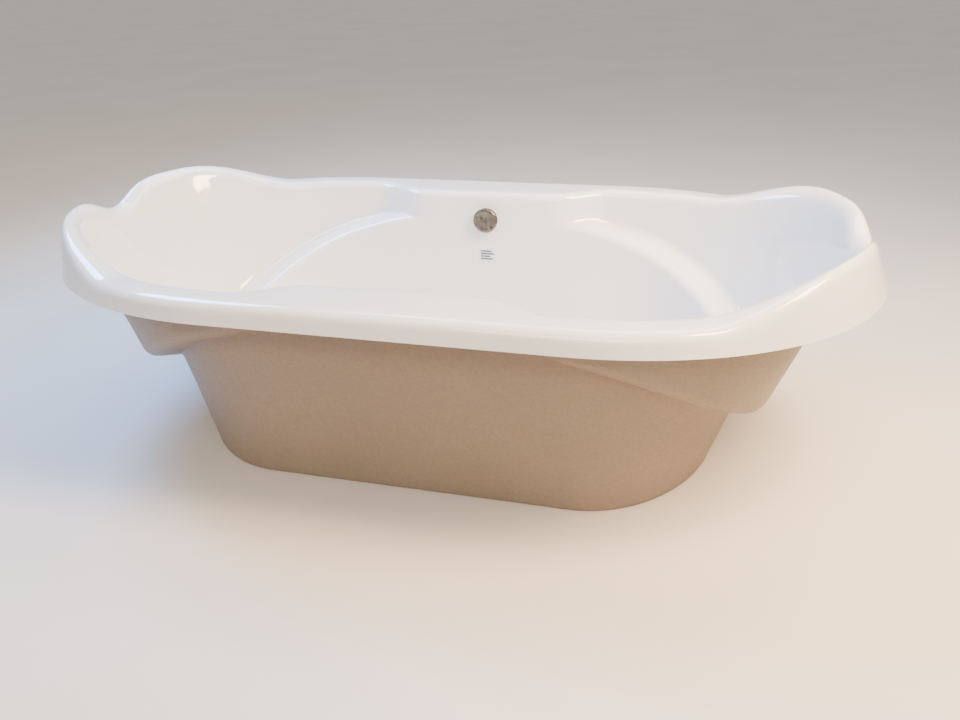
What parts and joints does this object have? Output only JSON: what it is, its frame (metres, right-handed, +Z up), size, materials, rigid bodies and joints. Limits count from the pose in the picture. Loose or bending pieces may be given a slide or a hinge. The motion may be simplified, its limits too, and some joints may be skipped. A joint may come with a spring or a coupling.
{
  "type": "bathtub",
  "caption": "Double-ended acrylic bathtub shell with raised scalloped corners, armrest ledges and fibreglass back, with a turn-knob overflow and pop-up waste.",
  "frame": {"origin": "middle of the footprint, on the surface that the tub stands on", "axes": "+X along the tub, +Y towards the wall with the overflow, +Z up"},
  "size_m": [1.83, 0.972, 0.5419],
  "materials": {
    "acrylic": "glossy white cast acrylic",
    "fibreglass": "rolled fibreglass in tan resin, coarse and dull",
    "board": "chipboard",
    "timber": "sawn softwood",
    "label": "blank stick-on film",
    "rubber": "moulded rubber",
    "polished_metal": "polished plate",
    "knob_metal": "satin nickel with a brown cast",
    "grey_plastic": "moulded grey ABS",
    "pale_plastic": "extruded PVC pipe",
    "black_plastic": "black nylon and PVC"
  },
  "bodies": {
    "tub": {"acrylic_shell": "acrylic", "fibreglass_backing": "fibreglass", "base_plinth": "fibreglass", "base_board": "board", "base_bearers": "timber", "rim_batten_front": "timber", "rim_batten_back": "timber", "blank_label": "label", "overflow_gasket": "rubber", "overflow_body": "grey_plastic", "overflow_ring": "polished_metal", "overflow_pipe": "pale_plastic", "upper_pipe_washer": "rubber", "upper_pipe_nut": "grey_plastic", "waste_tee": "grey_plastic", "lower_pipe_washer": "rubber", "lower_pipe_nut": "grey_plastic", "cross_pipe_washer": "rubber", "cross_pipe_nut": "grey_plastic", "waste_flange": "polished_metal", "flange_seal": "rubber", "shoe_gasket": "rubber", "waste_shoe": "grey_plastic", "lever_pin": "polished_metal", "cable_conduit": "black_plastic", "conduit_clips": "black_plastic"},
    "knob": {"overflow_knob": "knob_metal", "knob_spindle": "polished_metal", "knob_screw": "polished_metal", "cable_cam": "grey_plastic"},
    "plug": {"plug": "polished_metal", "plug_seal": "rubber"},
    "lever": {"lift_lever": "polished_metal"}
  },
  "joints": [
    {"name": "knob_turn", "type": "hinge", "parent": "tub", "child": "knob", "pos_m": [0, 0.33706, 0.403], "axis": [0, -0.9991, 0.042], "range_deg": [0, 100]},
    {"name": "plug_lift", "type": "slide", "parent": "tub", "child": "plug", "axis": [0, 0, 1], "range_m": [0, 0.01]},
    {"name": "lever_rise", "type": "hinge", "parent": "tub", "child": "lever", "pos_m": [0, 0.147, 0.036], "axis": [1, 0, 0], "range_deg": [0, 14]}
  ],
  "couplings": [
    {"joint": "plug_lift", "follows": "knob_turn", "m_per_rad": 0.0057296},
    {"joint": "lever_rise", "follows": "knob_turn", "ratio": 0.14}
  ]
}
